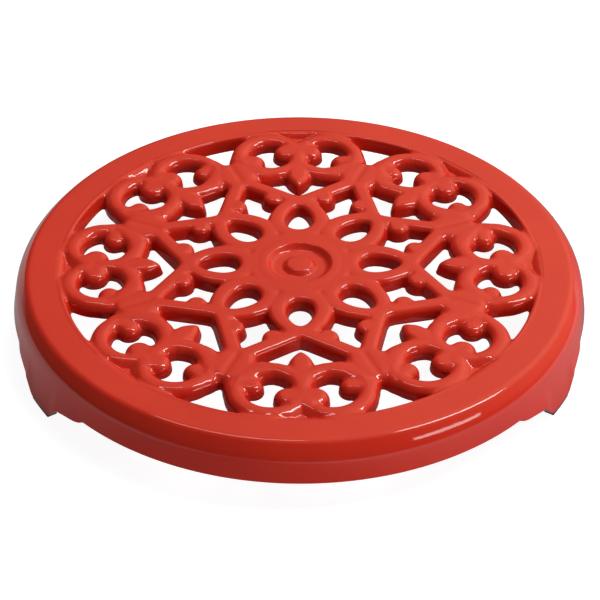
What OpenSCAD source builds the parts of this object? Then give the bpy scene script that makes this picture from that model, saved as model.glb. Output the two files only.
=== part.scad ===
// Round openwork trivet: one enamelled casting with a skirted rim, a dished hub,
// eight panels of lily-and-scroll tracery and three feet, each foot on a thin pad.
// +Z is up and the table is at z = 0; panel 1 points along -Y, towards the front.

/* [Rim] */
// Diameter over the lip of the skirt
rim_d = 230; // [220:1:250]
// Height of the rim from its lip to the land
rim_h = 15.9; // [13:0.1:19]
// Width of the flat land round the top
land_w = 13.1; // [11:0.1:16]
// Radial run of the bevel outside the land
bevel_run = 4.7; // [3.7:0.1:5.7]
// Drop of the bevel from the land to the skirt
bevel_drop = 5.2; // [4.4:0.1:6]
// Outward lean of the skirt from the bevel to the lip
skirt_lean = 1.5; // [0.9:0.1:2.1]
// Thickness of the skirt
skirt_t = 4.5; // [3.5:0.25:5.5]
// Thickness of the plate under the land and of the tracery
plate_t = 6; // [5:0.25:7]

/* [Hub] */
// Diameter of the hub disc
hub_d = 37; // [32:0.5:40]
// Diameter of the dish sunk in the hub
dish_d = 26.5; // [23:0.5:29]
// Depth of the dish below the land
dish_depth = 3.2; // [2.4:0.2:4]
// Diameter of the button in the middle of the dish
button_d = 12.5; // [9:0.5:15]
// Depth of the button's top below the land
button_drop = 0.4; // [0.2:0.1:1]

/* [Tracery] */
// Length of the egg-shaped hole in a petal
petal_l = 17.2; // [15:0.2:19]
// Width of the egg-shaped hole in a petal
petal_w = 11.8; // [10:0.2:13]
// Distance from the hub disc to the hole in a petal
petal_root = 5; // [4:0.25:6]
// Width of the wall round the hole in a petal
petal_wall = 6.1; // [5:0.1:7]
// Width of the bars of the pointed arch
arch_bar = 5.5; // [4.5:0.1:6.5]
// Width of the scrolls
scroll_bar = 5.3; // [4.5:0.1:6.3]
// Width of the lily's side leaves
leaf_bar = 5.8; // [4.8:0.1:6.6]
// Radius of the scrolls' middle line, as a share of the way from the arch to the rim
scroll_share = 0.254; // [0.24:0.002:0.268]
// Width of the lily's stem
stem_w = 5.5; // [4.5:0.1:6.5]
// Radius of the fillets where the bars meet
fillet_r = 1.8; // [1.2:0.1:2.6]
// Height of the narrow crown along the bars' tops
crown = 1; // [0.6:0.1:1.4]
// Amount that a bar widens on each side from its crown down to its underside
draft = 1.3; // [0.9:0.1:1.6]

/* [Feet] */
// Height of a foot from the lip of the skirt to its pad
foot_h = 9.9; // [8:0.1:14]
// Width of a foot's shoulders where they leave the lip
shoulder_w = 56; // [50:1:64]
// Drop of the shoulders from the lip to the foot
shoulder_drop = 3.5; // [2.5:0.1:4.5]
// Width of a foot under its shoulders
foot_top_w = 26; // [22:1:32]
// Width of a foot at its pad
foot_end_w = 15; // [12:0.5:20]
// Amount that a foot stands out past the lip at its pad
foot_flare = 1.9; // [0:0.1:2.5]
// Thickness of a foot at its pad
foot_t = 5; // [4:0.25:5.5]
// Thickness of a pad
pad_t = 1.2; // [1:0.1:2]
// Amount that a pad stays inside the edge of its foot
pad_inset = 0.4; // [0.2:0.1:0.8]

/* [Hidden] */

enamel = [0.80, 0.14, 0.10];
rubber = [0.12, 0.10, 0.10];

// Roundings of the rim's section, and of the hub's
land_edge_r = 3;
bevel_edge_r = 5;
lip_edge_r = 0.8;
skirt_root_r = 4;
dish_edge_r = 0.6;
button_edge_r = 1;
// Slope of the dish's wall and of the button's side, as a radial run
dish_run = 1.2;
button_run = 1.8;
// Radius of the small balls: on the arch, in the scrolls and at the lily's foot
ear_r = 3.5;
cusp_r = 3;
ball_r = 4;
// Radius of the boss where two arches and two scrolls meet
boss_r = 7.3;
// Distance that the ear stands off the arch's middle line, towards the hub
ear_off = 3.1;
// Distance from the scrolls' middle line to the rim, as a share of the same way
scroll_off_share = 0.07;
// Width of the ring that frames the tracery inside the rim
collar = 1.8;
// Half widths of the lily's bud from its point to its stem, and the rounding of its corners
bud_half_ws = [0, 1.9, 3.1, 5.6, 0];
bud_r = 1;
// Amount that the lily's foot widens on each side where it meets the rim
foot_spread = 2;
// Run of the steep outer end of a foot's shoulder, and its share of the shoulder's drop
shoulder_run = 4;
shoulder_share = 0.57;
// Overrun of a cut past the solid
overrun = 1;

// Radii that follow from the sizes above
rim_r = rim_d / 2;
skirt_r = rim_r - skirt_lean;
land_r = skirt_r - bevel_run;
bore_r = land_r - land_w;
collar_r = bore_r + collar;
foot_end_r = rim_r + foot_flare;
hub_r = hub_d / 2;
dish_r = dish_d / 2;
button_r = button_d / 2;

// Heights that follow
lip_z = pad_t + foot_h;
land_z = lip_z + rim_h;
under_z = land_z - plate_t;
dish_z = land_z - dish_depth;
button_z = land_z - button_drop;

// Places in a panel: x across it, y out from the middle of the trivet
panel_count = 8;
sector = 360 / panel_count;
petal_y = hub_r + petal_root + petal_l / 2;
apex_y = petal_y + petal_l / 2 + petal_wall / 2;
reach = bore_r - apex_y;
scroll_r = reach * scroll_share;
scroll_y = bore_r - scroll_r - reach * scroll_off_share;
// Shares of the reach from the arch's apex to the rim
arch_end_share = 0.40;
boss_shares = [0.455, 0.505];
cusp_share = 0.615;
leaf_shares = [0.545, 0.335, 0.485];
bud_shares = [0.251, 0.286, 0.338, 0.415, 0.56];
ball_share = 0.742;
stem_end_share = 0.80;
ear_share = 0.36;
ball_side_share = 0.6;
// Shares of the distance from the middle, for places beside a panel's middle line
scroll_side_share = 0.147;
cusp_side_share = 0.243;
leaf_side_shares = [0, 0.182, 0.29];
egg_share = 0.23;
ball_side = stem_w / 2 + ball_r * ball_side_share;

// Fineness of curves
fine = 96;
round_steps = 5;
bar_steps = 16;
egg_steps = 24;
round_fine = 20;
scroll_from = -75;
scroll_to = 115;
scroll_steps = 9;
leaf_steps = 4;

foot_angles = [210, 330, 90];

// Point at a share of the reach, straight out or turned round the middle
function out(share) = apex_y + share * reach;
function polar(r, a) = [r * cos(a), r * sin(a)];
function unit(v) = v / norm(v);

// Arc that rounds the corner b between a and c with radius r
function corner(a, b, c, r) =
    let (
        u = unit(a - b),
        w = unit(c - b),
        half = acos(u * w) / 2,
        middle = b + unit(u + w) * r / sin(half),
        from = b + u * r / tan(half) - middle,
        to = b + w * r / tan(half) - middle,
        start = atan2(from.y, from.x),
        turn = (atan2(to.y, to.x) - start + 540) % 360 - 180
    )
    [for (i = [0 : round_steps]) middle + polar(r, start + turn * i / round_steps)];

// Outline through corners given as [x, y, rounding]
function rounded(corners) =
    let (n = len(corners), p = [for (c = corners) [c.x, c.y]])
    [for (i = [0 : n - 1]) each
        corners[i].z == 0
            ? [p[i]]
            : corner(p[(i + n - 1) % n], p[i], p[(i + 1) % n], corners[i].z)];

// Section of the rim: land, bevel, skirt and the hollow inside the skirt
module rim_section() {
    polygon(rounded([
        [collar_r, land_z, 0],
        [collar_r, under_z, 0],
        [skirt_r - skirt_t, under_z, skirt_root_r],
        [rim_r - skirt_t, lip_z, lip_edge_r],
        [rim_r, lip_z, lip_edge_r],
        [skirt_r, land_z - bevel_drop, bevel_edge_r],
        [land_r, land_z, land_edge_r],
    ]));
}

module rim() {
    color(enamel)
        rotate_extrude($fn = fine)
            rim_section();
}

// Section of the hub: a disc with a dish, and a button in the dish
module hub_section() {
    polygon(rounded([
        [0, under_z, 0],
        [hub_r, under_z, 0],
        [hub_r, land_z, 0],
        [dish_r, land_z, dish_edge_r],
        [dish_r - dish_run, dish_z, dish_edge_r],
        [button_r, dish_z, dish_edge_r],
        [button_r - button_run, button_z, button_edge_r],
        [0, button_z, 0],
    ]));
}

module hub() {
    color(enamel)
        rotate_extrude($fn = fine)
            hub_section();
}

// Flat bar of width w along a chain of points, with round ends
module bar(points, w) {
    for (p = points)
        disc(p, w / 2);
    for (i = [1 : len(points) - 1]) {
        run = points[i] - points[i - 1];
        translate(points[i - 1])
            rotate(atan2(run.y, run.x))
                translate([0, -w / 2])
                    square([norm(run), w]);
    }
}

module disc(p, r) {
    translate(p)
        circle(r = r, $fn = bar_steps);
}

// Egg with its blunt end towards the hub
module egg(l, w) {
    polygon([for (i = [0 : egg_steps - 1])
        let (a = i * 360 / egg_steps)
        [w / 2 * (1 - egg_share * sin(a)) * cos(a), l / 2 * sin(a)]]);
}

module petal_wall_shape() {
    translate([0, petal_y])
        egg(petal_l + 2 * petal_wall, petal_w + 2 * petal_wall);
}

// Right half of one panel, as the bars' middle lines and widths
module half_panel() {
    arch_end = polar(out(arch_end_share), 90 - sector / 2);
    apex = [0, apex_y];
    along = unit(arch_end - apex);
    bar([apex, arch_end], arch_bar);
    disc(apex + (arch_end - apex) * ear_share + [along.y, -along.x] * ear_off, ear_r);
    bar([for (s = boss_shares) polar(out(s), 90 - sector / 2)], 2 * boss_r);

    scroll = [scroll_y * scroll_side_share, scroll_y];
    bar([for (i = [0 : scroll_steps])
        scroll + polar(scroll_r, scroll_from + (scroll_to - scroll_from) * i / scroll_steps)], scroll_bar);
    cusp = [out(cusp_share) * cusp_side_share, out(cusp_share)];
    bar([cusp, [scroll.x + scroll_r, cusp.y]], 2 * cusp_r);

    leaf = [for (i = [0 : 2]) out(leaf_shares[i]) * [leaf_side_shares[i], 1]];
    bar([for (i = [0 : leaf_steps])
        let (t = i / leaf_steps)
        leaf[0] * pow(1 - t, 2) + leaf[1] * 2 * t * (1 - t) + leaf[2] * pow(t, 2)], leaf_bar);
    bar([[0, out(ball_share)], [ball_side, out(ball_share)]], 2 * ball_r);
}

// Pointed bud of the lily, its stem and the foot that spreads to the rim
module lily() {
    offset(r = bud_r, $fn = round_fine)
        polygon([
            for (i = [0 : 4]) [bud_half_ws[i], out(bud_shares[i])],
            for (i = [3 : -1 : 1]) [-bud_half_ws[i], out(bud_shares[i])],
        ]);
    bar([[0, out(bud_shares[3])], [0, out(stem_end_share)]], stem_w);
    bar([[0, out(stem_end_share)], [0, bore_r]], stem_w + 2 * foot_spread);
}

module panel_bars() {
    half_panel();
    mirror([1, 0])
        half_panel();
    lily();
}

// A panel with its neighbours, the hub and the rim, filleted together and then
// widened by grow, with the petals' holes cut
module panel_outline(grow) {
    offset(delta = grow)
        difference() {
            offset(r = -fillet_r, $fn = round_fine)
                offset(r = fillet_r, $fn = round_fine) {
                    for (turn = [-sector, 0, sector])
                        rotate(turn) {
                            panel_bars();
                            petal_wall_shape();
                        }
                    circle(r = hub_r, $fn = fine);
                    difference() {
                        circle(r = land_r, $fn = fine);
                        circle(r = bore_r, $fn = fine);
                    }
                }
            for (turn = [-sector, 0, sector])
                rotate(turn)
                    translate([0, petal_y])
                        egg(petal_l, petal_w);
        }
}

// Part of a panel between its two straight sides, the hub and the rim
module panel_wedge() {
    difference() {
        intersection() {
            circle(r = collar_r, $fn = fine);
            polygon([[0, 0],
                polar(rim_d, 90 - sector / 2),
                polar(rim_d, 90 + sector / 2)]);
        }
        circle(r = hub_r, $fn = fine);
    }
}

// One slice of a panel, between two heights
module panel_slice(from, to, grow) {
    translate([0, 0, from])
        linear_extrude(to - from)
            intersection() {
                panel_wedge();
                panel_outline(grow);
            }
}

// The bars narrow from the underside up, in three steps
module tracery(index) {
    waist_z = under_z + (plate_t - crown) / 2;
    color(enamel)
        rotate(180 + sector * (index - 1)) {
            panel_slice(under_z, waist_z, draft);
            panel_slice(waist_z, land_z - crown, draft / 2);
            panel_slice(land_z - crown, land_z, 0);
        }
}

// Section of a foot, which carries the skirt on down and out to the pad
module foot_section() {
    polygon([
        [rim_r - lip_edge_r, lip_z],
        [rim_r - skirt_t + lip_edge_r, lip_z],
        [foot_end_r - foot_t, pad_t],
        [foot_end_r, pad_t],
        [rim_r, lip_z - lip_edge_r],
    ]);
}

// A foot, cut to its outline as seen from outside
module foot(angle) {
    side = [
        [foot_end_w / 2, pad_t],
        [foot_top_w / 2, lip_z - shoulder_drop],
        [shoulder_w / 2 - shoulder_run, lip_z - shoulder_drop * shoulder_share],
        [shoulder_w / 2, lip_z],
    ];
    color(enamel)
        intersection() {
            rotate_extrude($fn = fine)
                foot_section();
            rotate(angle - 90)
                rotate([90, 0, 180])
                    linear_extrude(rim_d)
                        polygon([
                            for (p = side) p,
                            for (i = [3 : -1 : 0]) [-side[i].x, side[i].y],
                        ]);
        }
}

module pad(angle) {
    color(rubber)
        intersection() {
            rotate_extrude($fn = fine)
                translate([foot_end_r - foot_t + pad_inset, 0])
                    square([foot_t - 2 * pad_inset, pad_t]);
            rotate(angle - 90)
                translate([-foot_end_w / 2 + pad_inset, 0, -overrun])
                    cube([foot_end_w - 2 * pad_inset, rim_d, pad_t + 2 * overrun]);
        }
}

rim();
hub();
for (index = [1 : panel_count])
    tracery(index);
foot(foot_angles[0]);  // foot_left
foot(foot_angles[1]);  // foot_right
foot(foot_angles[2]);  // foot_back
pad(foot_angles[0]);  // pad_left
pad(foot_angles[1]);  // pad_right
pad(foot_angles[2]);  // pad_back
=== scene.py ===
# Looks of the round openwork trivet: one enamelled casting on three thin pads.
# Lengths are in millimetres until a mesh is made; the frame is the CAD model's.
import math

import bpy
import numpy as np
from mathutils import Matrix, Vector


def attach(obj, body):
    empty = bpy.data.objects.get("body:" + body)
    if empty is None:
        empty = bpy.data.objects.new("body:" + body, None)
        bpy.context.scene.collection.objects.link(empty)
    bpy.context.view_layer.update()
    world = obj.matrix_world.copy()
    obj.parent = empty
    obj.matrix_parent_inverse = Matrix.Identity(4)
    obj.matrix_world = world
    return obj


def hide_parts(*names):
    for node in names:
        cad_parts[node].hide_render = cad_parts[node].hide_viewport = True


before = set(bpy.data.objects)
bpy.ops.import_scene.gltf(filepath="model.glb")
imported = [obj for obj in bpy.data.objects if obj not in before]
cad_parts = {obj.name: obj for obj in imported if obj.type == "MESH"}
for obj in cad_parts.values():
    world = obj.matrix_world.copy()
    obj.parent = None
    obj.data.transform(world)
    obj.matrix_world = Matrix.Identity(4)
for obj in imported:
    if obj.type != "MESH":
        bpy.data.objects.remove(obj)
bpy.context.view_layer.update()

MM = 0.001
PANELS = 8
SECTOR = 2 * math.pi / PANELS
HALF = SECTOR / 2

# Heights
LAND_Z = 27.0
UNDER_Z = 21.0
LIP_Z = 11.1
PAD_TOP = 1.2
PLATE_T = LAND_Z - UNDER_Z
# Amounts that the tracery's tops, and then the land, lie below the hub's ring
SUNK = 0.1
STEP = 0.4

# Radii of the hub's edge, of the tracery's outer edge, of the rim's inner edge in the plan,
# and of the rim's section: the land's end, the skirt's top, the lip and the feet
HUB_R = 18.5
PANEL_R = 97.5
BORE_R = 95.7
LAND_R = 108.8
SKIRT_R = 113.2
RIM_R = 114.95
FOOT_R = 116.8

# Fields


def smin(a, b, k):
    """The lower of two distances, blended over k."""
    h = np.clip(0.5 + 0.5 * (b - a) / k, 0, 1)
    return b + (a - b) * h - k * h * (1 - h)


def ramp(x, a, b):
    """Smooth step from 0 at a to 1 at b."""
    t = np.clip((x - a) / (b - a), 0, 1)
    return t * t * (3 - 2 * t)


def bar(u, v, a, b, half):
    """Distance to a bar from a to b with round ends."""
    au, av = u - a[0], v - a[1]
    du, dv = b[0] - a[0], b[1] - a[1]
    t = np.clip((au * du + av * dv) / (du * du + dv * dv), 0, 1)
    return np.hypot(au - du * t, av - dv * t) - half


def egg(u, v, middle, long_r, wide_r, share):
    """Distance to an egg with its blunt end towards the hub."""
    s = (v - middle) / long_r
    w = wide_r * (1 - share * np.clip(s, -2, 2))
    q = np.hypot(s, u / w)
    slope = np.hypot(s / long_r, u / w**2) / np.maximum(q, 1e-6)
    return (q - 1) / np.maximum(slope, 1e-3)


def ring_arc(u, v, middle, radius, half, start, stop):
    """Distance to a bar bent round middle from angle start to stop, with round ends."""
    du, dv = u - middle[0], v - middle[1]
    angle = np.arctan2(dv, du)
    d = np.abs(np.hypot(du, dv) - radius)
    ends = [np.hypot(du - radius * math.cos(a), dv - radius * math.sin(a)) for a in (start, stop)]
    return np.where((angle > start) & (angle < stop), d, np.minimum(*ends)) - half


def lancet(u, v, tip, wide, half, blunt=1.0):
    """Distance to a bud, mirrored in u: a point near tip, as round as blunt, and round sides
    that are half from the middle at wide."""
    h = wide - tip
    radius = (h * h + half * half) / (2 * half)
    arcs = np.hypot(np.hypot(u, blunt) + radius - half, np.minimum(v - wide, 0)) - radius
    return np.maximum(arcs, v - wide - half)


def polar(r, a):
    """Place in a sector at radius r and angle a from its middle."""
    return r * math.sin(a), r * math.cos(a)


# Places in one sector, across from its middle and outwards from the hub's middle
APEX = (0, 43.75)
ARCH_END = polar(64.5, HALF)
EAR = (10.5, 46.9)
BOSS = (polar(67.4, HALF), polar(70, HALF))
SCROLL = (11.6, 78.5)
CUSP = (18.4, 75.3)
CUSP_ROOT = (24.8, 75.3)
LEAF = ((0, 72.1), (11.1, 61.2), (20, 69))
STEM_START = (0, 63)
STEM_END = (0, 85.3)
BALL = (5.15, 82.0)
PETAL_Y = 32.1
# Tip and widest place of the bud, and half of its width there
BUD = (55.9, 64.35, 3.55)
# Radius of a scroll's middle line, and the angles between which it runs
SCROLL_TURN = 13.2
SCROLL_SPAN = (math.radians(-75), math.radians(115))
# Half length and half width of a petal and of its hole, and how far an egg's width changes
PETAL_SIZE = (14.7, 12)
HOLE_SIZE = (8.6, 5.9)
EGG = 0.23
# Half widths of the bars, and radii of the round ends
ARCH_HALF = 2.75
STEM_HALF = 2.75
SCROLL_HALF = 2.65
LEAF_HALF = 2.9
CUSP_HALF = 3
STEM_FOOT_HALF = 4.75
BOSS_HALF = 7.3
EAR_R = 3.5
BALL_R = 4
# How far the hub's disc reaches into the tracery
HUB_REACH = 1.8
# Rounding across the panel's middle, where the two leaves meet
LEAF_SOFT = 1.0
# Width over which the forms' roundings and drops pass into each other
MELT = 1.2

# Blend with the forms before it, edge rounding, drop at the edge and drop in the middle
STYLE = {
    "hub": (3, 1.8, 0.2, 0),
    "petal": (3, 1.6, 0.35, 0),
    "arch": (3, 1.7, 0.2, 0),
    "ear": (1.5, 1.8, 0.1, 0),
    "scroll": (3, 2.6, 0.4, 0),
    "cusp": (2.1, 2.6, 0.5, 0.45),
    "leaf": (3, 2.5, 0.7, 0),
    "bud": (1.8, 1.6, 0.2, 0),
    "stem": (3, 2.4, 0.35, 0),
    "ball": (2.1, 2.5, 0.4, 0.2),
    "stem_foot": (3, 1.8, 0, 0),
    "rim": (3, 1.0, 0, 0),
    "boss": (3, 2.0, 0.3, 0)}


def leaf_points(n=8):
    """Middle line of the right leaf, a curve with LEAF as its control points."""
    pts = []
    for i in range(n):
        t = i / (n - 1)
        pts.append(tuple((1 - t)**2 * a + 2 * t * (1 - t) * b + t * t * c
                         for a, b, c in zip(*LEAF)))
    return pts


def half_pattern(u, v, own=True):
    """Distance to the bars of the right half of a sector, with their edge rounding and their
    tops' drop at the edge and in the middle; own adds what lies on the sector's edge."""
    r = np.hypot(u, v)
    pts = leaf_points()
    beside = np.hypot(u, LEAF_SOFT)
    leaf = np.minimum.reduce([bar(beside, v, a, b, LEAF_HALF) for a, b in zip(pts, pts[1:])])
    forms = {
        "hub": r - HUB_R - HUB_REACH,
        "petal": egg(u, v, PETAL_Y, *PETAL_SIZE, EGG),
        "arch": bar(u, v, APEX, ARCH_END, ARCH_HALF),
        "ear": np.hypot(u - EAR[0], v - EAR[1]) - EAR_R,
        "scroll": ring_arc(u, v, SCROLL, SCROLL_TURN, SCROLL_HALF, *SCROLL_SPAN),
        "cusp": bar(u, v, CUSP, CUSP_ROOT, CUSP_HALF),
        "leaf": leaf,
        "bud": lancet(u, v, *BUD),
        "stem": bar(u, v, STEM_START, STEM_END, STEM_HALF),
        "ball": bar(u, v, (0, BALL[1]), BALL, BALL_R),
        "stem_foot": bar(u, v, STEM_END, (0, BORE_R), STEM_FOOT_HALF),
        "rim": BORE_R - r}
    if own:
        forms["boss"] = bar(u, v, *BOSS, BOSS_HALF)
    parts = [(d, *STYLE[name]) for name, d in forms.items()]
    low = np.minimum.reduce([q[0] for q in parts])
    weights = [np.exp(-(q[0] - low) / MELT) for q in parts]
    total = sum(weights)
    shape = [sum(w * q[n] for w, q in zip(weights, parts)) / total for n in (2, 3, 4)]
    d = parts[0][0]
    for q in parts[1:]:
        d = smin(d, q[0], q[1])
    return [np.maximum(d, -egg(u, v, PETAL_Y, *HOLE_SIZE, EGG))] + shape


# Angle beside a sector's edge in which the next sector counts too, the blend of the two, and
# a distance so large that it counts for nothing
NEXT_REACH = 0.25
NEXT_BLEND = 1.5
FAR_OFF = 50.0


def pattern(r, t):
    """Distance to the tracery's plan outline at radius r and angle t from the sector's middle,
    with the edge rounding and the drops there."""
    t = np.abs(t)
    t = np.where(t > HALF, SECTOR - t, t)
    here = half_pattern(r * np.sin(t), r * np.cos(t))
    far = SECTOR - t
    near = t > HALF - NEXT_REACH
    there = [np.full_like(here[0], FAR_OFF)] + [h.copy() for h in here[1:]]
    part = half_pattern(r[near] * np.sin(far[near]), r[near] * np.cos(far[near]), own=False)
    for n in range(4):
        there[n][near] = part[n]
    share = 1 / (1 + np.exp(np.clip((here[0] - there[0]) / MELT, -40, 40)))
    mixed = [share * h + (1 - share) * o for h, o in zip(here[1:], there[1:])]
    return [smin(here[0], there[0], NEXT_BLEND)] + mixed


# Hollow in the lily's foot: where its point lies, how its sides open and bend, the share that
# makes that a distance, its outer end, the rounding of its corners, and its slope, the
# softness of its edge and its greatest depth
PIT_POINT = 87.5
PIT_OPEN = 0.6
PIT_BEND = 0.04
PIT_SHARE = 0.62
PIT_END = 96.0
PIT_CORNER = 0.9
PIT_SLOPE = 1.05
PIT_SOFT = 0.9
PIT_DEPTH = 2.6


def pit(u, v):
    """Depth of the three-sided hollow in the lily's foot."""
    u = np.abs(u)
    r = np.hypot(u, v)
    side = (v - PIT_POINT - PIT_OPEN * u - PIT_BEND * u * u) * PIT_SHARE
    m = smin(side, PIT_END - r, PIT_CORNER)
    return np.minimum(PIT_SLOPE * (m + np.sqrt(m * m + PIT_SOFT)) / 2, PIT_DEPTH)


# Radii between which the tops' crown comes in at the hub and goes out at the rim, and between
# which the tracery steps down to the land
CROWN_IN = (18.6, 21.5)
CROWN_OUT = (95.6, 97.3)
STEP_DOWN = (94.3, 97.4)
# Crown: plan distance at which the edge's drop is full, the width that it takes to reach it,
# and its limit beyond
CROWN_EDGE = 0.5
CROWN_WIDTH = 3.6
CROWN_LIMIT = 1.3
# Hollow along the bosses: depth, half width, and the radii between which it comes in and goes
GROOVE = 0.28
GROOVE_HALF = 1.5
GROOVE_IN = (60, 64)
GROOVE_OUT = (77, 81)


def top(r, t, d, edge_drop, sink):
    """Height of the tracery's top over its plan distance d."""
    t = np.abs(t)
    t = np.where(t > HALF, SECTOR - t, t)
    inner = ramp(r, *CROWN_IN) * (1 - ramp(r, *CROWN_OUT))
    crown = edge_drop * np.clip(1 + (d - CROWN_EDGE) / CROWN_WIDTH, 0, CROWN_LIMIT)**2 * inner
    step = SUNK + STEP * ramp(r, *STEP_DOWN)
    # Distance from the line between two sectors
    beside = r * np.sin(HALF - t)
    across = GROOVE * np.exp(-(beside / GROOVE_HALF)**2)
    groove = across * ramp(r, *GROOVE_IN) * (1 - ramp(r, *GROOVE_OUT))
    return LAND_Z - step - crown - sink * inner - groove - pit(r * np.sin(t), r * np.cos(t))


def rounded_max(a, b, r):
    """The higher of two distances, with the corner between them rounded to r."""
    return np.minimum(np.maximum(a, b), -r) + np.hypot(np.maximum(a + r, 0), np.maximum(b + r, 0))


# How far the bars reach beyond the plan at the underside, the share that makes the distance to
# their slanted sides a true one, and the rounding of their lower edges
DRAFT = 1.6
SLANT = 0.985
UNDER_EDGE = 0.5
# A bar's side starts this far from the plan at the top, so that its rounded edge shows one
# outline: a share of the rounding, less an amount, and a share of the edge's drop
SIDE_BY_EDGE = 0.663
SIDE_BACK = 0.85
SIDE_BY_DROP = 0.4


def casting(r, t, z):
    """Signed distance, about, to the tracery: negative inside."""
    d, edge, edge_drop, sink = pattern(r, t)
    start = SIDE_BY_EDGE * edge - SIDE_BACK + SIDE_BY_DROP * edge_drop
    side = (d - start - (DRAFT - start) / PLATE_T * np.clip(LAND_Z - z, 0, PLATE_T)) * SLANT
    body = rounded_max(side, z - top(r, t, d, edge_drop, sink), edge)
    return rounded_max(body, UNDER_Z - z, UNDER_EDGE)


def slope(p, h):
    """Field and its gradient at points given as x, y, z with the sector's middle along y."""
    def at(q):
        return casting(np.hypot(q[:, 0], q[:, 1]), np.arctan2(q[:, 0], q[:, 1]), q[:, 2])
    g = np.empty_like(p)
    for k in range(3):
        step = np.zeros(3)
        step[k] = h
        g[:, k] = (at(p + step) - at(p - step)) / (2 * h)
    return at(p), g


# Meshes

# Steps by which the net's points are moved on to the surface: their number, the half width of
# the difference that gives the slope, the least squared slope, and the longest move
PULLS = 4
PULL_WIDTH = 0.02
PULL_SLOPE = 0.05
PULL_LONGEST = 0.25
# Half width of the difference that gives the normals
NORMAL_WIDTH = 0.12


def half_panel_mesh(dr=0.5, dt=math.radians(0.375), dz=0.5):
    """Closed net of the right half of a panel: points, quads and the points on its middle plane."""
    nr, nt = round((PANEL_R - HUB_R) / dr), round(HALF / dt)
    rn = HUB_R + (np.arange(-1, nr + 1) + 0.5) * dr
    tn = (np.arange(nt + 2) - 0.5) * dt
    zn = UNDER_Z + (np.arange(-1, round((LAND_Z - UNDER_Z) / dz) + 1) + 0.5) * dz
    grid = np.meshgrid(rn, tn, zn, indexing="ij")
    field = casting(*grid)
    padded = field.copy()
    padded[0] = padded[-1] = 1.0
    padded[:, -1] = 1.0
    inside = padded < 0

    def cells(a):
        return [a[i:a.shape[0] - 1 + i, j:a.shape[1] - 1 + j, k:a.shape[2] - 1 + k]
                for i in (0, 1) for j in (0, 1) for k in (0, 1)]

    corners = cells(inside)
    count = sum(c.astype(int) for c in corners)
    active = (count > 0) & (count < 8)
    index = np.full(active.shape, -1)
    index[active] = np.arange(active.sum())
    ci, cj, ck = np.nonzero(active)

    # Mean of the crossings on each cell's edges, in cell units
    values = np.stack([c[active] for c in cells(field)], 1)
    total = np.zeros((len(ci), 3))
    number = np.zeros(len(ci))
    ends = [(a, b) for a in range(8) for b in range(a + 1, 8) if bin(a ^ b).count("1") == 1]
    offsets = np.array([[i, j, k] for i in (0, 1) for j in (0, 1) for k in (0, 1)], float)
    for a, b in ends:
        fa, fb = values[:, a], values[:, b]
        hit = (fa < 0) != (fb < 0)
        f = np.where(hit, fa / np.where(hit, fa - fb, 1), 0)[:, None]
        total += np.where(hit[:, None], offsets[a] + f * (offsets[b] - offsets[a]), 0)
        number += hit
    surface = number > 0
    local = np.where(surface[:, None], total / np.maximum(number, 1)[:, None], 0.5)
    r = rn[ci] + local[:, 0] * dr
    t = tn[cj] + local[:, 1] * dt
    z = zn[ck] + local[:, 2] * dz
    first, last = cj == 0, cj == nt
    inner, outer = ci == 0, ci == nr

    def snap():
        t[first], t[last] = 0, HALF
        r[inner], r[outer] = HUB_R, PANEL_R

    snap()
    for _ in range(PULLS):
        p = np.stack([r * np.sin(t), r * np.cos(t), z], 1)[surface]
        f, g = slope(p, PULL_WIDTH)
        g2 = np.maximum((g * g).sum(1), PULL_SLOPE)
        move = -f[:, None] * g / g2[:, None]
        length = np.linalg.norm(move, axis=1)
        move *= np.minimum(1, PULL_LONGEST / np.maximum(length, 1e-9))[:, None]
        p += move
        r[surface] = np.hypot(p[:, 0], p[:, 1])
        t[surface] = np.arctan2(p[:, 0], p[:, 1])
        z[surface] = p[:, 2]
        snap()
    # A cell that only the padding opens stays on its plane, between the top and the underside
    z[~surface] = np.clip(z[~surface], UNDER_Z + 0.3, LAND_Z - 3)

    quads = []

    def add(flip, a, b, c, d):
        q = np.stack([a, b, c, d], 1)
        q[flip] = q[flip][:, ::-1]
        quads.append(q)

    # Edges along r, then along the angle, then along z
    lo, hi = inside[:-1, 1:-1, 1:-1], inside[1:, 1:-1, 1:-1]
    i, j, k = np.nonzero(lo != hi)
    add(lo[i, j, k], index[i, j, k], index[i, j + 1, k], index[i, j + 1, k + 1], index[i, j, k + 1])
    lo, hi = inside[1:-1, 1:-1, 1:-1], inside[1:-1, 2:, 1:-1]
    i, j, k = np.nonzero(lo != hi)
    add(hi[i, j, k], index[i, j + 1, k], index[i + 1, j + 1, k], index[i + 1, j + 1, k + 1],
        index[i, j + 1, k + 1])
    lo, hi = inside[1:-1, 1:-1, :-1], inside[1:-1, 1:-1, 1:]
    i, j, k = np.nonzero(lo != hi)
    add(lo[i, j, k], index[i, j, k], index[i + 1, j, k], index[i + 1, j + 1, k], index[i, j + 1, k])
    return np.stack([r * np.sin(t), r * np.cos(t), z], 1), np.concatenate(quads), first


def panel_mesh():
    """Whole panel, middle along y: points, quads and normals."""
    p, quads, middle = half_panel_mesh()
    _, n = slope(p, NORMAL_WIDTH)
    n /= np.maximum(np.linalg.norm(n, axis=1), 1e-6)[:, None]
    n[middle, 0] = 0
    other = np.full(len(p), -1)
    other[middle] = np.nonzero(middle)[0]
    other[~middle] = len(p) + np.arange((~middle).sum())
    flip = np.array([-1.0, 1, 1])
    points = np.concatenate([p, p[~middle] * flip])
    normals = np.concatenate([n, n[~middle] * flip])
    faces = np.concatenate([quads, other[quads][:, ::-1]])
    return points, faces, normals


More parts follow.
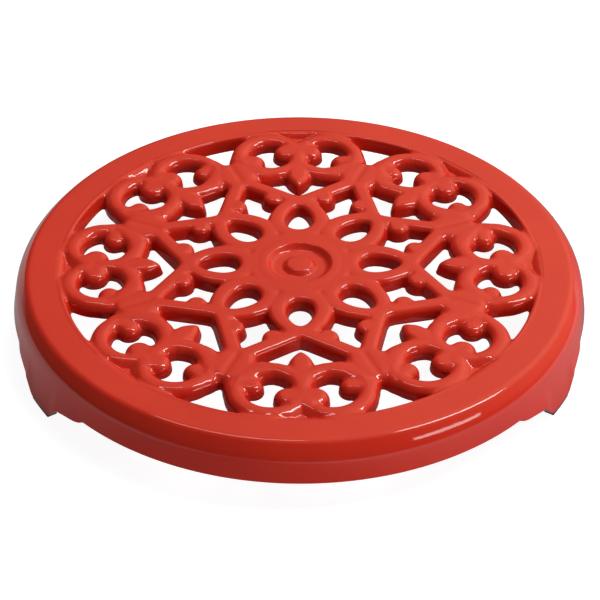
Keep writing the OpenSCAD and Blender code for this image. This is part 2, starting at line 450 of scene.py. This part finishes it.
def make(name, points, faces, material, normals=None, matrix=None):
    """Smooth mesh object with its place in its mesh, from points in millimetres."""
    points = np.asarray(points, float)
    if matrix is not None:
        points = points @ matrix.T
        normals = None if normals is None else normals @ matrix.T
    mesh = bpy.data.meshes.new(name)
    faces = [f if isinstance(f, list) else f.tolist() for f in faces]
    mesh.from_pydata((points * MM).tolist(), [], faces)
    mesh.validate()
    mesh.shade_smooth()
    if normals is not None:
        mesh.normals_split_custom_set_from_vertices(normals.tolist())
    mesh.materials.append(material)
    obj = bpy.data.objects.new(name, mesh)
    bpy.context.scene.collection.objects.link(obj)
    return obj


def turn(a):
    """Matrix that turns by a about z."""
    c, s = math.cos(a), math.sin(a)
    return np.array([[c, -s, 0], [s, c, 0], [0, 0, 1.0]])


def arc(corners, steps=8):
    """Points of an outline through corners given as (r, z, rounding), open at both ends, with
    about this many steps to each 0.8 radians of a rounding."""
    out = [corners[0][:2]]
    for a, b, c in zip(corners, corners[1:], corners[2:]):
        r = b[2]
        if r == 0:
            out.append(b[:2])
            continue
        pb = np.array(b[:2])
        u = np.array(a[:2]) - pb
        w = np.array(c[:2]) - pb
        u /= np.linalg.norm(u)
        w /= np.linalg.norm(w)
        half = math.acos(np.clip(u @ w, -1, 1)) / 2
        middle = pb + (u + w) / np.linalg.norm(u + w) * r / math.sin(half)
        start, stop = pb + u * r / math.tan(half) - middle, pb + w * r / math.tan(half) - middle
        a0 = math.atan2(start[1], start[0])
        sweep = (math.atan2(stop[1], stop[0]) - a0 + 3 * math.pi) % (2 * math.pi) - math.pi
        n = max(3, int(steps * abs(sweep) / 0.8))
        for i in range(n + 1):
            s = a0 + sweep * i / n
            out.append(tuple(middle + r * np.array([math.cos(s), math.sin(s)])))
    out.append(corners[-1][:2])
    return out


def fill(profile, longest):
    """Profile with its long runs divided."""
    out = [profile[0]]
    for a, b in zip(profile, profile[1:]):
        n = max(1, math.ceil(math.hypot(b[0] - a[0], b[1] - a[1]) / longest))
        out += [tuple(a[k] + (b[k] - a[k]) * i / n for k in (0, 1)) for i in range(1, n + 1)]
    return out


def quads_of(rows, columns, wrap=True):
    """Quads of a grid stored row by row, closed round its columns."""
    across = columns if wrap else columns - 1
    i, j = np.meshgrid(np.arange(rows - 1), np.arange(across), indexing="ij")
    k = (j + 1) % columns
    here, above = i * columns, (i + 1) * columns
    return np.stack([here + j, here + k, above + k, above + j], -1).reshape(-1, 4)


# Rim with its feet, from the tracery's edge out, down the skirt, up inside it and back
FEET = (210, 330, 90)
FOOT_H = LIP_Z - PAD_TOP
RIM_TOP = LAND_Z - SUNK - STEP
# Half of a foot's outline: distance from its middle along the lip, and drop
FOOT_SIDE = ((0, FOOT_H), (7.3, FOOT_H), (12.9, 3.6), (18.5, 2.7), (24.2, 2), (27.2, 1.1),
             (28.2, 0))
SKIRT_Z = LAND_Z - 5.5
SKIRT_T = 4.5
# Height on the rim's inner face at which its section starts and ends, and a short step that
# keeps the edges of the inner face and of the hub sharp
START_Z = UNDER_Z + 3
CRISP = 0.02
# Corners as radius, height and rounding
RIM_SECTION = [
    (PANEL_R, START_Z, 0), (PANEL_R, RIM_TOP - CRISP, 0), (PANEL_R, RIM_TOP, 0),
    (PANEL_R + CRISP, RIM_TOP, 0), (LAND_R, RIM_TOP, 3.4), (SKIRT_R, SKIRT_Z, 9),
    (RIM_R, LIP_Z, 0.7), (RIM_R - SKIRT_T, LIP_Z, 0.8), (SKIRT_R - SKIRT_T, UNDER_Z, 4),
    (PANEL_R, UNDER_Z, 0), (PANEL_R, START_Z, 0)]
# Longest run along the rim's section, and angles in degrees between the rim's columns, between
# those at the feet, and from a foot's middle to the last of those
RIM_RUN = 1.6
COLUMN = 0.75
FOOT_COLUMN = 0.15
FOOT_REACH = 15
# Steps of 0.02 degrees over which the corners of a foot are eased
FINE = 0.02
EASE = 91
# Heights above the lip between which a foot's drop fades out, and the depth behind the skirt
# at which it has none
DROP_FADE = (0.8, 3.2)
DROP_DEPTH = 8
# Depths behind the lip's edge between which the flare loses FLARE_LOSS, and the share of the
# drop at which the flare is full
FLARE_FADE = (2, 4)
FLARE_LOSS = 0.4
FLARE_FULL = 0.5


def foot_drop(a):
    """How far the lip is carried down at each angle."""
    drop = np.zeros_like(a)
    for foot in FEET:
        s = np.abs((a - math.radians(foot) + math.pi) % (2 * math.pi) - math.pi) * RIM_R
        drop = np.maximum(drop, np.interp(s, *zip(*FOOT_SIDE)))
    return drop


def rim_columns():
    """Angles of the columns, closer together at the feet."""
    a = list(np.radians(np.arange(0, 360, COLUMN)))
    for foot in FEET:
        a += list(np.radians(foot + np.arange(-FOOT_REACH, FOOT_REACH + 0.01, FOOT_COLUMN)))
    return np.unique(np.round(np.mod(a, 2 * math.pi), 6))


def rim_mesh():
    """Rim and feet in one: the rim's section swept round, with the lip carried down."""
    profile = np.array(fill(arc(RIM_SECTION), RIM_RUN))[:-1]
    a = rim_columns()
    # The corners of a foot are eased over its neighbours in angle
    fine = np.radians(np.arange(0, 360, FINE))
    eased = foot_drop(fine)
    kernel = np.hanning(EASE)
    kernel /= kernel.sum()
    over = EASE - 1
    ring = np.concatenate([eased[-over:], eased, eased[:over]])
    eased = np.convolve(ring, kernel, "same")[over:-over]
    drop = np.interp(a, fine, eased)
    r, z = profile[:, 0][:, None], profile[:, 1][:, None]
    w = 1 - ramp(z, LIP_Z + DROP_FADE[0], LIP_Z + DROP_FADE[1])
    w = np.where(r < SKIRT_R - DROP_DEPTH, 0, w)
    share = drop / FOOT_H
    zz = z - drop * w
    inner = ramp(-r, -(RIM_R - FLARE_FADE[0]), -(RIM_R - FLARE_FADE[1]))
    rr = r + (FOOT_R - RIM_R - FLARE_LOSS * inner) * ramp(share, 0, FLARE_FULL) * w
    x, y = rr * np.cos(a), rr * np.sin(a)
    pts = np.stack([x, y, zz + 0 * x], -1).reshape(-1, 3)
    rows, cols = len(profile), len(a)
    faces = quads_of(rows, cols)
    # The last row joins the first
    j = np.arange(cols)
    k = (j + 1) % cols
    last = np.stack([(rows - 1) * cols + j, (rows - 1) * cols + k, k, j], 1)
    return pts, np.concatenate([faces, last])[:, ::-1]


# The hub's tops outside its ring, the floor of the dish, and the button's edge and middle
HUB_Z = LAND_Z - SUNK
DISH_Z = LAND_Z - 2.3
BUTTON_EDGE_Z = LAND_Z - 0.55
BUTTON_Z = LAND_Z - 0.4
HUB_SECTION = [
    (0, UNDER_Z, 0), (HUB_R, UNDER_Z, 0), (HUB_R, HUB_Z - CRISP, 0), (HUB_R, HUB_Z, 0),
    (HUB_R - CRISP, HUB_Z, 0), (17.0, HUB_Z, 2.5), (15.4, LAND_Z, 2.5), (13.1, LAND_Z, 1.2),
    (10.9, DISH_Z, 2.4), (6.9, DISH_Z, 1.0), (4.9, BUTTON_EDGE_Z, 1.6), (0, BUTTON_Z, 0)]
HUB_RUN = 0.8


def hub_mesh(cols=480):
    """Disc with the dish and the button: the hub's section swept round."""
    profile = np.array(fill(arc(HUB_SECTION), HUB_RUN))[1:-1]
    a = np.arange(cols) * 2 * math.pi / cols
    r, z = profile[:, 0][:, None], profile[:, 1][:, None]
    pts = np.stack([r * np.cos(a), r * np.sin(a), z + 0 * a], -1).reshape(-1, 3)
    n = len(pts)
    pts = np.concatenate([pts, [[0, 0, UNDER_Z], [0, 0, profile[-1, 1]]]])
    faces = [list(q) for q in quads_of(len(profile), cols)]
    for j in range(cols):
        k = (j + 1) % cols
        faces.append([n, k, j])
        faces.append([n - cols + j, n - cols + k, n + 1])
    return pts, faces


# Radii of a pad's inner and outer edges and of its middle, half its width, and its rows from
# the table up, as height and inset
PAD_IN = 112.3
PAD_OUT = 116.4
PAD_R = 114.4
PAD_HALF = 6.6
PAD_ROWS = ((0, 0.35), (0.12, 0.1), (0.35, 0), (PAD_TOP - 0.1, 0), (PAD_TOP + 0.15, 0.1))


def pad_mesh(angle, n=28):
    """Thin slab with rounded edges under a foot, bent to the skirt."""
    ring = []
    for i in range(n + 1):
        ring.append((PAD_OUT, -PAD_HALF + 2 * PAD_HALF * i / n))
    for i in range(n + 1):
        ring.append((PAD_IN, PAD_HALF - 2 * PAD_HALF * i / n))
    ring = np.array(ring)
    rows = []
    for z, inset in PAD_ROWS:
        rr = np.where(ring[:, 0] > PAD_R, ring[:, 0] - inset, ring[:, 0] + inset)
        s = ring[:, 1] * (PAD_HALF - inset) / PAD_HALF
        a = angle + s / PAD_R
        rows.append(np.stack([rr * np.cos(a), rr * np.sin(a), np.full(len(rr), z)], 1))
    pts = np.concatenate(rows)
    cols = len(ring)
    faces = [list(q) for q in quads_of(len(rows), cols)]
    for base, order in ((0, -1), ((len(rows) - 1) * cols, 1)):
        for i in range(n):
            q = [base + i, base + i + 1, base + cols - 2 - i, base + cols - 1 - i]
            faces.append(q[::order])
    return pts, faces


# Materials


def node(tree, kind, **settings):
    """New node; a setting that starts with in_ is the value of an input, by name or number."""
    made = tree.nodes.new(kind)
    for name, value in settings.items():
        if name.startswith("in_"):
            key = name[3:].replace("_", " ")
            made.inputs[int(key) if key.isdigit() else key].default_value = value
        else:
            setattr(made, name, value)
    return made


def math_node(tree, operation, a, b):
    """Output of a sum, product or the like of two outputs."""
    made = node(tree, "ShaderNodeMath", operation=operation)
    tree.links.new(a, made.inputs[0])
    tree.links.new(b, made.inputs[1])
    return made.outputs[0]


def new_material(name):
    """New material, with its tree and its shader."""
    material = bpy.data.materials.new(name)
    material.use_nodes = True
    tree = material.node_tree
    return material, tree, tree.nodes["Principled BSDF"]


def enamel_material():
    """Glossy orange-red enamel with a faint cloud in its colour and a fine swell."""
    material, tree, shader = new_material("enamel")
    link = tree.links.new
    where = node(tree, "ShaderNodeTexCoord")
    cloud = node(tree, "ShaderNodeTexNoise", in_Scale=22.0, in_Detail=3.0, in_Roughness=0.5)
    link(where.outputs["Object"], cloud.inputs["Vector"])
    tone = node(tree, "ShaderNodeValToRGB")
    tone.color_ramp.elements[0].position = 0.35
    tone.color_ramp.elements[0].color = (0.58, 0.020, 0.009, 1)
    tone.color_ramp.elements[1].position = 0.70
    tone.color_ramp.elements[1].color = (0.64, 0.026, 0.011, 1)
    link(cloud.outputs["Fac"], tone.inputs["Fac"])
    link(tone.outputs["Color"], shader.inputs["Base Color"])
    peel = node(tree, "ShaderNodeTexNoise", in_Scale=420.0, in_Detail=1.0, in_Roughness=0.4)
    link(where.outputs["Object"], peel.inputs["Vector"])
    swell = node(tree, "ShaderNodeTexNoise", in_Scale=60.0, in_Detail=1.0, in_Roughness=0.4)
    link(where.outputs["Object"], swell.inputs["Vector"])
    both = node(tree, "ShaderNodeMath", operation="MULTIPLY_ADD", in_1=5.0)
    link(swell.outputs["Fac"], both.inputs[0])
    link(peel.outputs["Fac"], both.inputs[2])
    bump = node(tree, "ShaderNodeBump", in_Strength=0.2, in_Distance=0.00005)
    link(both.outputs[0], bump.inputs["Height"])
    link(bump.outputs["Normal"], shader.inputs["Normal"])
    shader.inputs["Roughness"].default_value = 0.05
    shader.inputs["IOR"].default_value = 1.52
    return material


def rubber_material():
    """Matt near-black rubber."""
    material, tree, shader = new_material("pad")
    link = tree.links.new
    where = node(tree, "ShaderNodeTexCoord")
    grain = node(tree, "ShaderNodeTexNoise", in_Scale=900.0, in_Detail=2.0)
    link(where.outputs["Object"], grain.inputs["Vector"])
    tone = node(tree, "ShaderNodeValToRGB")
    tone.color_ramp.elements[0].color = (0.010, 0.008, 0.007, 1)
    tone.color_ramp.elements[1].color = (0.028, 0.020, 0.017, 1)
    link(grain.outputs["Fac"], tone.inputs["Fac"])
    link(tone.outputs["Color"], shader.inputs["Base Color"])
    bump = node(tree, "ShaderNodeBump", in_Strength=0.4, in_Distance=0.00005)
    link(grain.outputs["Fac"], bump.inputs["Height"])
    link(bump.outputs["Normal"], shader.inputs["Normal"])
    shader.inputs["Roughness"].default_value = 0.6
    return material


enamel = enamel_material()
rubber = rubber_material()

# Pieces

points, faces, normals = panel_mesh()
pieces = []
for k in range(PANELS):
    # The first panel lies at the front
    place = turn(math.pi + SECTOR * k)
    piece = make(f"tracery_{k + 1}_looks", points, faces, enamel, normals, place)
    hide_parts(f"tracery_{k + 1}")
    pieces.append((piece, "red_enamel"))

rim = make("rim_and_feet", *rim_mesh(), enamel)
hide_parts("rim", "foot_left", "foot_right", "foot_back")
pieces.append((rim, "red_enamel"))
hub = make("hub_looks", *hub_mesh(), enamel)
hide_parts("hub")
pieces.append((hub, "red_enamel"))
for name, angle in zip(("left", "right", "back"), FEET):
    pad = make(f"pad_{name}_looks", *pad_mesh(math.radians(angle)), rubber)
    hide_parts(f"pad_{name}")
    pieces.append((pad, "pad_rubber"))
for piece, slot in pieces:
    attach(piece, "root")

# Floor and world

# Colour of the floor, and its brightness: to the camera; a painted glow outside the trivet as matt
# surfaces see it, painted light from a lit floor with painted shade under the trivet; and in gloss
# under the trivet, near it and far from it, dim there as painted shade, with painted light that its
# right and left add there
FLOOR_GREY = 0.33
FLOOR_SEEN = 0.92
FLOOR_PAINTED_GLOW = 0.5
FLOOR_UNDER = 0.13
FLOOR_NEAR = 0.22
FLOOR_FAR = 0.26
FLOOR_RIGHT = 0.65
FLOOR_LEFT = 0.38
# Distances from the trivet's middle, in metres, between which each of these changes
PAINTED_GLOW_FADE = (0.112, 0.13)
UNDER_FADE = (0.108, 0.135)
FAR_FADE = (0.16, 0.45)
RIGHT_FADE = (0.08, 0.19)
LEFT_FADE = (-0.17, -0.08)
SIDES_IN = (0.105, 0.125)
SIDES_OUT = (0.2, 0.7)
RIGHT_WAY = (0.85, -0.53, 0)


def floor_material():
    """Pale floor, white to the camera. Matt surfaces see painted light, a glow outside the trivet,
    and painted shade under it. In gloss it is painted as dim under and near the trivet as the
    trivet's own shade makes a floor, with painted light to its right and left."""
    material, tree, shader = new_material("floor")
    link = tree.links.new
    shader.inputs["Base Color"].default_value = (FLOOR_GREY, FLOOR_GREY, FLOOR_GREY, 1)
    shader.inputs["Roughness"].default_value = 0.9
    shader.inputs["Specular IOR Level"].default_value = 0.0
    path = node(tree, "ShaderNodeLightPath")
    where = node(tree, "ShaderNodeTexCoord")
    length = node(tree, "ShaderNodeVectorMath", operation="LENGTH")
    link(where.outputs["Object"], length.inputs[0])
    axes = node(tree, "ShaderNodeSeparateXYZ")
    link(where.outputs["Object"], axes.inputs[0])
    outwards = node(tree, "ShaderNodeVectorMath", operation="DOT_PRODUCT", in_1=RIGHT_WAY)
    link(where.outputs["Object"], outwards.inputs[0])

    def fade(span, low, high, by=length.outputs["Value"]):
        made = node(tree, "ShaderNodeMapRange", interpolation_type="SMOOTHSTEP",
                    in_1=span[0], in_2=span[1], in_3=low, in_4=high)
        link(by, made.inputs[0])
        return made.outputs[0]

    # To the camera, white; to matt surfaces, a painted glow outside the trivet that stands in for a
    # lit floor, with painted shade under it
    seen = math_node(tree, "MAXIMUM", path.outputs["Is Camera Ray"],
                     path.outputs["Is Transmission Ray"])
    white = node(tree, "ShaderNodeMath", operation="MULTIPLY", in_1=FLOOR_SEEN)
    link(seen, white.inputs[0])
    glow = node(tree, "ShaderNodeEmission", in_Color=(1, 1, 1, 1))
    link(math_node(tree, "MAXIMUM", fade(PAINTED_GLOW_FADE, 0, FLOOR_PAINTED_GLOW), white.outputs[0]),
         glow.inputs["Strength"])
    both = node(tree, "ShaderNodeAddShader")
    link(shader.outputs[0], both.inputs[0])
    link(glow.outputs[0], both.inputs[1])

    # In gloss: painted shade under and near the trivet, and painted light on its right and left
    near = fade(UNDER_FADE, FLOOR_UNDER, FLOOR_NEAR)
    far = fade(FAR_FADE, 0, FLOOR_FAR - FLOOR_NEAR)
    right = fade(RIGHT_FADE, 0, FLOOR_RIGHT, outwards.outputs["Value"])
    left = fade(LEFT_FADE, FLOOR_LEFT, 0, axes.outputs["X"])
    sides = math_node(tree, "ADD", right, left)
    close = math_node(tree, "MULTIPLY", fade(SIDES_IN, 0, 1), fade(SIDES_OUT, 1, 0))
    beside = math_node(tree, "MULTIPLY", sides, close)
    mirrored = node(tree, "ShaderNodeEmission", in_Color=(1, 1, 1, 1))
    link(math_node(tree, "ADD", math_node(tree, "ADD", near, far), beside),
         mirrored.inputs["Strength"])
    pick = node(tree, "ShaderNodeMixShader")
    link(path.outputs["Is Glossy Ray"], pick.inputs[0])
    link(both.outputs[0], pick.inputs[1])
    link(mirrored.outputs[0], pick.inputs[2])
    link(pick.outputs[0], tree.nodes["Material Output"].inputs["Surface"])
    return material


def floor_mesh(size=6000.0, n=24, depth=0.02):
    """Flat square with finer quads at its middle, just below the table's plane."""
    c = np.linspace(-1, 1, n)
    c = np.sign(c) * np.abs(c)**2 * size
    x, y = np.meshgrid(c, c)
    pts = np.stack([x.ravel(), y.ravel(), np.full(n * n, -depth)], 1)
    return pts, quads_of(n, n, wrap=False)


floor = make("floor", *floor_mesh(), floor_material())

# Brightness of the room, of the room as gloss shows it, and of its bright side there, with
# the direction and the narrowness of that side and the tint that gloss shows
ROOM = 0.06
ROOM_GLOSS = 0.10
BRIGHT_SIDE = 1.2
BRIGHT_WAY = Vector((0.55, 0.45, 0.70)).normalized()
BRIGHT_POWER = 4.0
GLOSS_TINT = (1, 0.95, 0.66, 1)

world = bpy.data.worlds.new("studio")
bpy.context.scene.world = world
world.use_nodes = True
wt = world.node_tree
wt.nodes.clear()
path = node(wt, "ShaderNodeLightPath")
where = node(wt, "ShaderNodeTexCoord")
facing = node(wt, "ShaderNodeVectorMath", operation="DOT_PRODUCT", in_1=BRIGHT_WAY)
wt.links.new(where.outputs["Generated"], facing.inputs[0])
upper = node(wt, "ShaderNodeMath", operation="MAXIMUM", in_1=0.0)
wt.links.new(facing.outputs["Value"], upper.inputs[0])
lobe = node(wt, "ShaderNodeMath", operation="POWER", in_1=BRIGHT_POWER)
wt.links.new(upper.outputs[0], lobe.inputs[0])
gloss = node(wt, "ShaderNodeMath", operation="MULTIPLY_ADD", in_1=BRIGHT_SIDE, in_2=ROOM_GLOSS)
wt.links.new(lobe.outputs[0], gloss.inputs[0])
base = node(wt, "ShaderNodeBackground", in_Color=(1, 1, 1, 1), in_Strength=ROOM)
shown = node(wt, "ShaderNodeBackground", in_Color=GLOSS_TINT)
wt.links.new(gloss.outputs[0], shown.inputs["Strength"])
by_gloss = node(wt, "ShaderNodeMixShader")
wt.links.new(path.outputs["Is Glossy Ray"], by_gloss.inputs[0])
wt.links.new(base.outputs[0], by_gloss.inputs[1])
wt.links.new(shown.outputs[0], by_gloss.inputs[2])
white = node(wt, "ShaderNodeBackground", in_Color=(1, 1, 1, 1), in_Strength=1.0)
seen = math_node(wt, "MAXIMUM", path.outputs["Is Camera Ray"], path.outputs["Is Transmission Ray"])
pick = node(wt, "ShaderNodeMixShader")
wt.links.new(seen, pick.inputs[0])
wt.links.new(by_gloss.outputs[0], pick.inputs[1])
wt.links.new(white.outputs[0], pick.inputs[2])
out = node(wt, "ShaderNodeOutputWorld")
wt.links.new(pick.outputs[0], out.inputs["Surface"])

# Lights


def strip(name, first, last, width, power, tint=(1, 1, 1), distance=1.5):
    """Long lamp, in metres and watts, that faces the hub and fills the sky from one direction
    to another."""
    first, last = Vector(first).normalized(), Vector(last).normalized()
    data = bpy.data.lights.new(name, "AREA")
    data.shape = "RECTANGLE"
    data.size = 2 * distance * math.tan(first.angle(last) / 2)
    data.size_y = width
    data.energy = power
    data.color = tint
    z = (first + last).normalized()
    x = (last - first).normalized()
    obj = bpy.data.objects.new(name, data)
    obj.rotation_mode = "QUATERNION"
    obj.rotation_quaternion = Matrix((x, z.cross(x), z)).transposed().to_quaternion()
    obj.location = z * distance + Vector((0, 0, LAND_Z * MM))
    bpy.context.scene.collection.objects.link(obj)


def soft(name, direction, power, distance=2.0, side=1.2):
    """Wide lamp, in metres and watts, that faces the hub and leaves no highlight."""
    data = bpy.data.lights.new(name, "AREA")
    data.size = side
    data.energy = power
    obj = bpy.data.objects.new(name, data)
    d = Vector(direction).normalized()
    obj.rotation_mode = "QUATERNION"
    obj.rotation_quaternion = d.to_track_quat("Z", "Y")
    obj.location = d * distance + Vector((0, 0, LAND_Z * MM))
    obj.visible_glossy = False
    bpy.context.scene.collection.objects.link(obj)


strip("key_upper", (0.30, 0.03, 0.95), (0.74, 0.04, 0.67), 0.2, 8.7)
strip("key_lower", (0.59, -0.65, 0.48), (0.86, -0.35, 0.375), 0.16, 2.1)
strip("overhead", (-0.32, 0.30, 0.90), (0.02, 0.30, 0.95), 0.13, 1.5, (0.85, 0.88, 1))
soft("main", (0.30, 0.55, 0.78), 30.5)
soft("side", (0.80, -0.58, 0.08), 18)

# Camera: its lens and place come from a fit to the photograph at 600 by 600

AZ = math.radians(-0.72)
EL = math.radians(37.33)
ROLL = math.radians(0.26)
LENS = 129.39
DISTANCE = 843.6
# Point that the camera looks at: to the right of the hub and in front of it, as the camera
# stands, at the land's height
RIGHT = 0.26
FRONT = 25.25
AIM = Vector((RIGHT * math.cos(AZ) + FRONT * math.sin(AZ),
              RIGHT * math.sin(AZ) - FRONT * math.cos(AZ), LAND_Z)) * MM
camera = bpy.data.cameras.new("camera")
camera.sensor_width = 36
camera.lens = LENS
camera.clip_end = 50
eye = bpy.data.objects.new("camera", camera)
back = Vector((math.sin(AZ) * math.cos(EL), -math.cos(AZ) * math.cos(EL), math.sin(EL)))
eye.location = AIM + back * DISTANCE * MM
eye.rotation_mode = "QUATERNION"
upright = back.to_track_quat("Z", "Y")
eye.rotation_quaternion = upright @ Matrix.Rotation(ROLL, 3, "Z").to_quaternion()
bpy.context.scene.collection.objects.link(eye)
bpy.context.scene.camera = eye
bpy.context.scene.view_settings.view_transform = "Standard"
